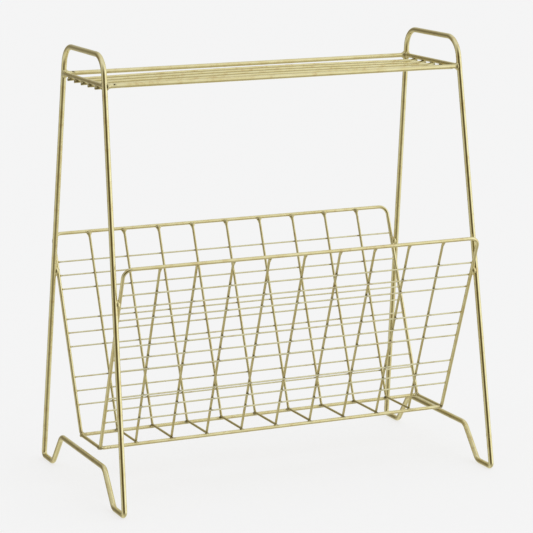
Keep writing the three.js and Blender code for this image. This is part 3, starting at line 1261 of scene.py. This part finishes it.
@dataclass
class Basket:
    """The basket: two leaning framed panels of ribs and thin wires that share U-shaped ribs."""

    lines: LegLines
    rim_height: float = 265.5 * MM
    rim_half_depth: float = 114.0 * MM
    rim_bend: float = 10.0 * MM
    floor_height: float = 51.0 * MM
    floor_half_depth: float = 30.5 * MM
    floor_bend: float = 4.0 * MM
    seam_from_corner: float = 8.5 * MM
    floor_rod_let_in: float = 1.2 * MM
    floor_weld: Fillet = Fillet(
        BASKET_ROD.radius, along=0.9 * MM, across=0.4 * MM, height=1.6 * MM, sink=1.5 * MM
    )
    corner_bead: Bead = Bead(along=2.5 * MM, across=2.5 * MM, up=2.3 * MM, shade_reach=4.5 * MM)
    corner_bead_inset: float = 0.8 * MM
    rib_count: int = 9
    rib_bend: float = 3.5 * MM
    rib_trim: float = 0.9 * MM
    rim_weld: Fillet = Fillet(
        0.98 * RIB_WIRE.radius, along=2.4 * MM, across=0.5 * MM, height=5.0 * MM, sink=0.9 * MM
    )
    rim_weld_drop: float = 2.3 * MM
    rim_weld_out: float = 0.9 * MM
    floor_bead: Bead = Bead(along=2.1 * MM, across=1.9 * MM, up=1.0 * MM, shade_reach=4.1 * MM)
    wires_per_panel: int = 9
    wire_let_in: float = 0.6 * MM
    wire_bead: Bead = Bead(along=1.9 * MM, across=1.25 * MM, up=0.9 * MM, shade_reach=3.1 * MM)
    wire_end_bead: Bead = Bead(along=1.1 * MM, across=1.3 * MM, up=1.3 * MM)
    bead_rise: float = 0.1 * MM
    leg_bead: Bead = Bead(along=5.4 * MM, across=3.8 * MM, up=3.2 * MM)
    slot: str = "basket_brass"
    wire_slot: str = "panel_wire_brass"

    def __post_init__(self) -> None:
        """Works out the back panel's lines in the side view."""
        self.half_length = abs(rod_line("basket_floor_rod_right")[0].x)
        rim = Vector((0.0, self.rim_half_depth, self.rim_height))
        floor = Vector((0.0, self.floor_half_depth, self.floor_height))
        down_panel = (floor - rim).normalized()
        reach = BASKET_ROD.radius + RIB_WIRE.radius + WELD_GAP
        self.rib_top = rim + self._inward(down_panel) * reach
        across = -Y_AXIS
        turn = down_panel.angle(across)
        bend_to_corner = self.rib_bend * (1 / math.cos(turn / 2) - 1)
        away = (across - down_panel).normalized()
        self.rib_corner = floor + away * (reach - bend_to_corner)
        self.rib_down = (self.rib_corner - self.rib_top).normalized()
        self.rib_inward = self._inward(self.rib_down)

    def build(self, shop: Workshop) -> None:
        """Makes the basket's frames, floor rods, ribs, wires and welds.

        Args:
            shop: where the pieces go.
        """
        self._build_frames(shop)
        self._build_floor_rods(shop)
        self._build_ribs(shop)
        self._build_wires(shop)
        self._weld_to_legs(shop)

    def _inward(self, down: Vector) -> Vector:
        """The normal of the back panel that points into the basket."""
        return Vector((0.0, down.z, -down.y))

    def _on(self, face: Face, vector: Vector) -> Vector:
        """A vector of the back panel, turned to the same place on the given panel."""
        return Vector((vector.x, face.value * vector.y, vector.z))

    def _build_frames(self, shop: Workshop) -> None:
        """Makes the two panel frames and their seams.

        Args:
            shop: where the pieces go.
        """
        long, floor_y, floor_z = self.half_length, self.floor_half_depth, self.floor_height
        corners = [
            Corner(Vector((long, floor_y, floor_z)), self.floor_bend),
            Corner(Vector((long, self.rim_half_depth, self.rim_height)), self.rim_bend),
            Corner(Vector((-long, self.rim_half_depth, self.rim_height)), self.rim_bend),
            Corner(Vector((-long, floor_y, floor_z)), self.floor_bend),
        ]
        seam = Vector((long - self.seam_from_corner, floor_y, floor_z))
        for face in Face:
            rod = closed_rod(BASKET_ROD, corners, seam)
            turned = Matrix.Rotation(0.0 if face is Face.BACK else math.pi, 3, "Z")
            bmesh.ops.rotate(rod, verts=rod.verts, matrix=turned)
            beads = shop.beads()
            beads.seam(turned @ seam, X_AXIS, BASKET_ROD.radius)
            name = f"{face.label}_basket_frame"
            shop.add(name, rod, shop.finishes.basket, self.slot, f"basket_frame_{face.label}")
            shop.add_welds(f"{name}_seam", beads, self.slot)

    def _build_floor_rods(self, shop: Workshop) -> None:
        """Makes the floor rods, with the welds at the basket's lower corners.

        Args:
            shop: where the pieces go.
        """
        for end in End:
            name, node = f"{end.label}_floor_rod", f"basket_floor_rod_{end.label}"
            let_in, finish = self.floor_rod_let_in, shop.finishes.basket
            _, rod_end = shop.add_straight(name, BASKET_ROD, node, let_in, finish, self.slot)
            beads = shop.beads()
            corner_x = end.value * (self.half_length - self.corner_bead_inset)
            corner_z = self.floor_height + self.corner_bead_inset
            for face in Face:
                side = Y_AXIS * face.value
                root = self._on(face, rod_end) + side * WELD_GAP
                beads.fillet(Joint(root, -side, X_AXIS), self.floor_weld)
                point = Vector((corner_x, face.value * self.floor_half_depth, corner_z))
                beads.nugget(Joint(point, side, X_AXIS), self.corner_bead)
            shop.add_welds(f"{end.label}_floor_corner_welds", beads, self.slot)

    def _build_ribs(self, shop: Workshop) -> None:
        """Makes the ribs, with their welds to the rims and to the floor rods of the frames.

        Args:
            shop: where the pieces go.
        """
        beads = {face: shop.beads() for face in Face}
        tip = self.rib_top + self.rib_down * self.rib_trim
        for number, place in enumerate(self._rib_places(), 1):
            across = X_AXIS * place
            corners = [
                Corner(across + self._on(Face.FRONT, tip)),
                Corner(across + self._on(Face.FRONT, self.rib_corner), self.rib_bend),
                Corner(across + self.rib_corner, self.rib_bend),
                Corner(across + tip),
            ]
            rod = BentRod(RIB_WIRE).follow(corners).cut()
            shop.add(f"rib_{number}", rod, shop.finishes.rib, self.slot, f"basket_rib_{number}")
            for face in Face:
                self._weld_rib(beads[face], face, across)
        for face in Face:
            shop.add_welds(f"{face.label}_rib_welds", beads[face], self.slot)

    def _rib_places(self) -> list[float]:
        """Where the ribs stand along X."""
        nodes = [f"basket_rib_{number}" for number in range(1, self.rib_count + 1)]
        return [sum(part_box(node), Vector()).x / 2 for node in nodes]

    def _weld_rib(self, beads: WeldBeads, face: Face, across: Vector) -> None:
        """Lays a rib's welds to one rim and to the floor rod below it.

        Args:
            beads: the weld metal that they join.
            face: which panel.
            across: the rib's place along X.
        """
        down, inward = self._on(face, self.rib_down), self._on(face, self.rib_inward)
        top = across + self._on(face, self.rib_top)
        root = top + down * self.rim_weld_drop - inward * self.rim_weld_out
        beads.fillet(Joint(root, down, X_AXIS), self.rim_weld)
        floor = Vector((0.0, self.floor_half_depth, self.floor_height))
        up = self._on(face, (self.rib_corner - floor).normalized())
        point = across + self._on(face, floor) + up * (BASKET_ROD.radius + self.bead_rise)
        beads.nugget(Joint(point, up, X_AXIS), self.floor_bead)

    def _build_wires(self, shop: Workshop) -> None:
        """Makes both panels' thin wires, with their spot welds to the ribs and the side rods.

        Args:
            shop: where the pieces go.
        """
        places = self._rib_places()
        finish, slot = shop.finishes.wire, self.wire_slot
        for face in Face:
            beads = shop.beads()
            inward = self._on(face, self.rib_inward)
            rise = inward * (PANEL_WIRE.radius + self.bead_rise)
            for number in range(1, self.wires_per_panel + 1):
                name, node = f"{face.label}_wire_{number}", f"basket_wire_{face.label}_{number}"
                ends = shop.add_straight(name, PANEL_WIRE, node, self.wire_let_in, finish, slot)
                for place in places:
                    point = Vector((place, ends[0].y, ends[0].z)) + rise
                    beads.spot(Joint(point, inward, X_AXIS), self.wire_bead)
                for wire_end in ends:
                    beads.spot(Joint(wire_end, Z_AXIS, X_AXIS), self.wire_end_bead)
            shop.add_welds(f"{face.label}_wire_welds", beads, slot)

    def _weld_to_legs(self, shop: Workshop) -> None:
        """Lays the bead where each side rod crosses a leg.

        Args:
            shop: where the pieces go.
        """
        for end in End:
            beads = shop.beads()
            for face in Face:
                up_leg = self.lines.direction(end, face)
                joint = Joint(self._crossing(end, face), X_AXIS * end.value, up_leg)
                beads.nugget(joint, self.leg_bead)
            shop.add_welds(f"{end.label}_basket_welds", beads, self.slot)

    def _crossing(self, end: End, face: Face) -> Vector:
        """Where a side rod crosses the inner face of a leg.

        Args:
            end: which end of the rack.
            face: the front or the back leg.

        Returns:
            The point in the gap between the two rods.
        """
        foot, handle = self.lines.foot, self.lines.handle
        leg_slope = (handle.y - foot.y) / (handle.z - foot.z)
        side_slope = (self.rim_half_depth - self.floor_half_depth) / (
            self.rim_height - self.floor_height
        )
        leg_depth = foot.y - foot.z * leg_slope
        side_depth = self.floor_half_depth - self.floor_height * side_slope
        height = (leg_depth - side_depth) / (side_slope - leg_slope)
        inward = X_AXIS * -end.value
        return self.lines.at(height, end, face) + inward * (FRAME_ROD.radius + WELD_GAP / 2)


# ---- Studio ----


@dataclass(frozen=True)
class LightPanel:
    """A soft panel of the light tent round the rack, seen from the rack.

    Attributes:
        name: what it is.
        azimuth: its middle's direction in degrees, anticlockwise from +X.
        elevation: its middle's height in degrees above the horizon.
        core: the angle from its middle that it fills evenly, in degrees.
        fade: the angle over which it fades out beyond that, in degrees.
        tint: its colour.
        brightness: how bright it is.
    """

    name: str
    azimuth: float
    elevation: float
    core: float
    fade: float
    tint: str
    brightness: float

    @property
    def direction(self) -> Vector:
        """The direction from the rack to the panel's middle."""
        turn, rise = math.radians(self.azimuth), math.radians(self.elevation)
        level = math.cos(rise)
        return Vector((math.cos(turn) * level, math.sin(turn) * level, math.sin(rise)))

    @property
    def light(self) -> tuple[float, float, float, float]:
        """The panel's light."""
        red, green, blue, _ = linear(self.tint)
        return red * self.brightness, green * self.brightness, blue * self.brightness, 1.0


@dataclass
class Studio:
    """A plain pale floor in a soft light tent, and the camera."""

    tent_tint: str = "#FFFEF0"
    tent_brightness: float = 0.76
    backdrop: str = "#F5F5F5"
    floor_half_size: float = 40.0
    floor_colour: str = "#98989B"
    floor_glow: float = 0.69
    # Each panel's name, azimuth, elevation, core, fade, tint and brightness.
    panels: tuple[LightPanel, ...] = (
        LightPanel("right softbox", -40, 8, 22, 36, "#FDFFFB", 1.25),
        LightPanel("left strip light", 143, -6, 14, 11, "#F1F8FF", 1.95),
        LightPanel("overhead diffuser", -65, 88, 22, 58, "#FBFDFF", 0.89),
        LightPanel("floor in shade", -50, -58, 10, 45, "#FFFAE6", 0.5),
        LightPanel("dark room in front", -119, 0, 7, 70, "#FFDC60", 0.08),
        LightPanel("dark room at the back", 124, 9, 0, 80, "#FFF0CA", 0.2),
    )
    camera_place: tuple[float, float, float] = (-1.06142, -2.38219, 0.75551)
    camera_azimuth: float = -24.066
    camera_elevation: float = 11.382
    camera_roll: float = -0.267
    camera_lens: float = 159.06
    camera_reach: tuple[float, float] = (0.05, 200.0)

    def build(self) -> None:
        """Makes the floor, the light and the camera."""
        self._floor()
        self._tent()
        self._camera()
        settings = bpy.context.scene.view_settings
        settings.view_transform = "Standard"
        settings.look = "None"

    def _floor(self) -> None:
        """Makes the floor, a translucent white sheet lit a little from below."""
        mesh = bmesh.new()
        bmesh.ops.create_grid(mesh, x_segments=4, y_segments=4, size=self.floor_half_size)
        data = bpy.data.meshes.new("floor")
        mesh.to_mesh(data)
        mesh.free()
        material = bpy.data.materials.new("White acrylic sheet, lit from below")
        material.use_nodes = True
        tree = material.node_tree
        tree.nodes.clear()
        settings = {
            "Base Color": linear(self.floor_colour),
            "Roughness": 1.0,
            "Specular IOR Level": 0.0,
            "Emission Color": (1.0, 1.0, 1.0, 1.0),
            "Emission Strength": self.floor_glow,
        }
        shader = add_node(tree, "BsdfPrincipled", settings)
        add_node(tree, "OutputMaterial", links={"Surface": shader.outputs["BSDF"]})
        data.materials.append(material)
        floor = bpy.data.objects.new("floor", data)
        floor.visible_glossy = False
        bpy.context.scene.collection.objects.link(floor)

    def _tent(self) -> None:
        """Makes the light tent: an even base with the panels laid over it in order."""
        world = bpy.data.worlds.new("light tent")
        world.use_nodes = True
        bpy.context.scene.world = world
        tree = world.node_tree
        tree.nodes.clear()
        way = add_node(tree, "TexCoord").outputs["Generated"]
        base = [channel * self.tent_brightness for channel in linear(self.tent_tint)[:3]]
        light = add_node(tree, "CombineColor", dict(enumerate(base))).outputs[0]
        for panel in self.panels:
            settings = {"operation": "DOT_PRODUCT", 1: panel.direction}
            facing = add_node(tree, "VectorMath", settings, {0: way}).outputs["Value"]
            angle = add_node(tree, "Math", {"operation": "ARCCOSINE"}, {0: facing}).outputs[0]
            settings = ramp(math.radians(panel.core + panel.fade), math.radians(panel.core))
            settings["interpolation_type"] = "SMOOTHSTEP"
            share = add_node(tree, "MapRange", settings, {"Value": angle}).outputs[0]
            settings = {"data_type": "RGBA", 7: panel.light}
            light = add_node(tree, "Mix", settings, {0: share, 6: light}).outputs[2]
        tent = add_node(tree, "Background", links={"Color": light})
        seen = add_node(tree, "Background", {"Color": linear(self.backdrop)})
        path = add_node(tree, "LightPath").outputs["Is Camera Ray"]
        both = add_node(tree, "MixShader", links={0: path, 1: tent.outputs[0], 2: seen.outputs[0]})
        add_node(tree, "OutputWorld", links={"Surface": both.outputs[0]})

    def _camera(self) -> None:
        """Makes the camera."""
        turn, rise = math.radians(self.camera_azimuth), math.radians(self.camera_elevation)
        level = Vector((math.cos(turn), math.sin(turn), 0.0))
        back = level.cross(Z_AXIS) * math.cos(rise) + Z_AXIS * math.sin(rise)
        turned = Matrix((level, back.cross(level), back)).transposed().to_4x4()
        roll = Matrix.Rotation(math.radians(self.camera_roll), 4, "Z")
        data = bpy.data.cameras.new("camera")
        data.lens = self.camera_lens
        data.clip_start, data.clip_end = self.camera_reach
        camera = bpy.data.objects.new("camera", data)
        camera.matrix_world = Matrix.Translation(self.camera_place) @ turned @ roll
        bpy.context.scene.collection.objects.link(camera)
        bpy.context.scene.camera = camera


def main() -> None:
    """Builds the rack and the studio."""
    logging.basicConfig(level=logging.INFO, format="%(name)s: %(message)s")
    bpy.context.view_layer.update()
    shop = Workshop(make_finishes())
    end_frames = [EndFrame(end) for end in End]
    for end_frame in end_frames:
        end_frame.build(shop)
    lines = end_frames[0].leg_lines()
    Shelf(lines).build(shop)
    Basket(lines).build(shop)
    shop.shade.paint(shop.pieces)
    Studio().build()
    LOG.info("%d pieces, %d welds", len(shop.pieces), len(shop.shade.welds))


if __name__ == "__main__":
    main()
